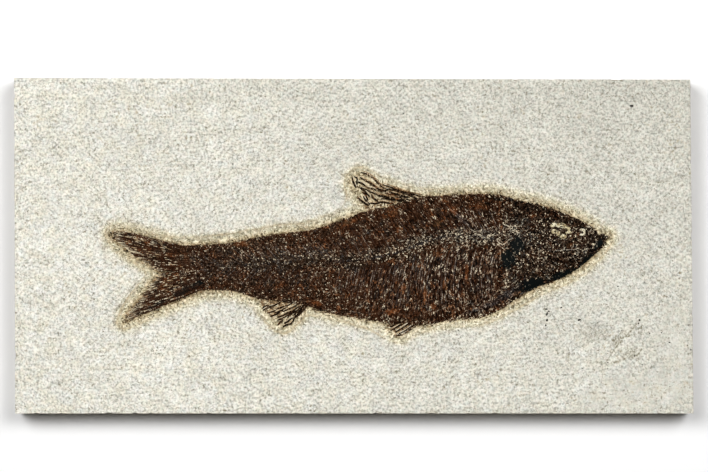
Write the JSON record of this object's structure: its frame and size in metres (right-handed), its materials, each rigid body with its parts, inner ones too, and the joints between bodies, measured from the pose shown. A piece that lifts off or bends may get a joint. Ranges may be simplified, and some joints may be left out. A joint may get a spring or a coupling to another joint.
{
  "type": "fossil fish slab",
  "caption": "Sawn slab of pale laminated limestone with a herring-like fossil fish bedded in its face, prepared in low relief inside a shallow scribed ring.",
  "frame": {"origin": "centre of the slab's underside", "axes": "+X along the slab towards the fish's head, +Y towards the fish's back, +Z out of the face that shows the fish"},
  "size_m": [0.17, 0.084, 0.0121],
  "materials": {
    "limestone": "matt, dry, finely speckled sawn and scraped limestone, tan where it was scribed down",
    "fossil_bone": "dark brown fossil bone and scale, satin, with orange-brown and cream flecks"
  },
  "bodies": {
    "root": {"slab": "limestone", "fish": "fossil_bone"}
  },
  "joints": []
}
